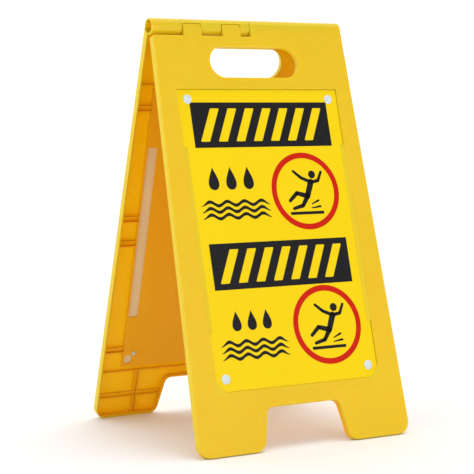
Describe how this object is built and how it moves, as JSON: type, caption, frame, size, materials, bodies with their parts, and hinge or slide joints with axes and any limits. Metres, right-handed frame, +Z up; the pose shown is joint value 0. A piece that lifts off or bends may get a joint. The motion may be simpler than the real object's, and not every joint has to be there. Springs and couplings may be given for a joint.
{
  "type": "folding floor safety sign",
  "caption": "Folding A-frame floor sign: two hinged moulded leaves with hand holes, arched feet and riveted printed inserts.",
  "frame": {"origin": "on the floor, midway between the four feet of the open sign", "axes": "+X along the hinge to the right as the front leaf is read, +Y from the front leaf to the back leaf, +Z up"},
  "size_m": [0.353, 0.3534, 0.611],
  "materials": {
    "leaf_plastic": "fine-textured injection-moulded golden yellow polypropylene",
    "insert_board": "smooth white plastic board",
    "printed_film": null,
    "rivet_nylon": "white moulded nylon",
    "pin_nylon": "white moulded nylon"
  },
  "bodies": {
    "front": {"front_leaf": "leaf_plastic", "front_insert_sheet": "insert_board", "front_printed_film": "printed_film", "front_rivet_body_top_left": "rivet_nylon", "front_rivet_pin_top_left": "pin_nylon", "front_rivet_body_top_right": "rivet_nylon", "front_rivet_pin_top_right": "pin_nylon", "front_rivet_body_bottom_left": "rivet_nylon", "front_rivet_pin_bottom_left": "pin_nylon", "front_rivet_body_bottom_right": "rivet_nylon", "front_rivet_pin_bottom_right": "pin_nylon"},
    "back": {"back_leaf": "leaf_plastic", "back_insert_sheet": "insert_board", "back_printed_film": "printed_film", "back_rivet_body_top_left": "rivet_nylon", "back_rivet_pin_top_left": "pin_nylon", "back_rivet_body_top_right": "rivet_nylon", "back_rivet_pin_top_right": "pin_nylon", "back_rivet_body_bottom_left": "rivet_nylon", "back_rivet_pin_bottom_left": "pin_nylon", "back_rivet_body_bottom_right": "rivet_nylon", "back_rivet_pin_bottom_right": "pin_nylon"}
  },
  "joints": [
    {"name": "fold", "type": "hinge", "parent": "front", "child": "back", "pos_m": [0, 0, 0.59902], "axis": [1, 0, 0], "range_deg": [-30.8, 0]}
  ]
}
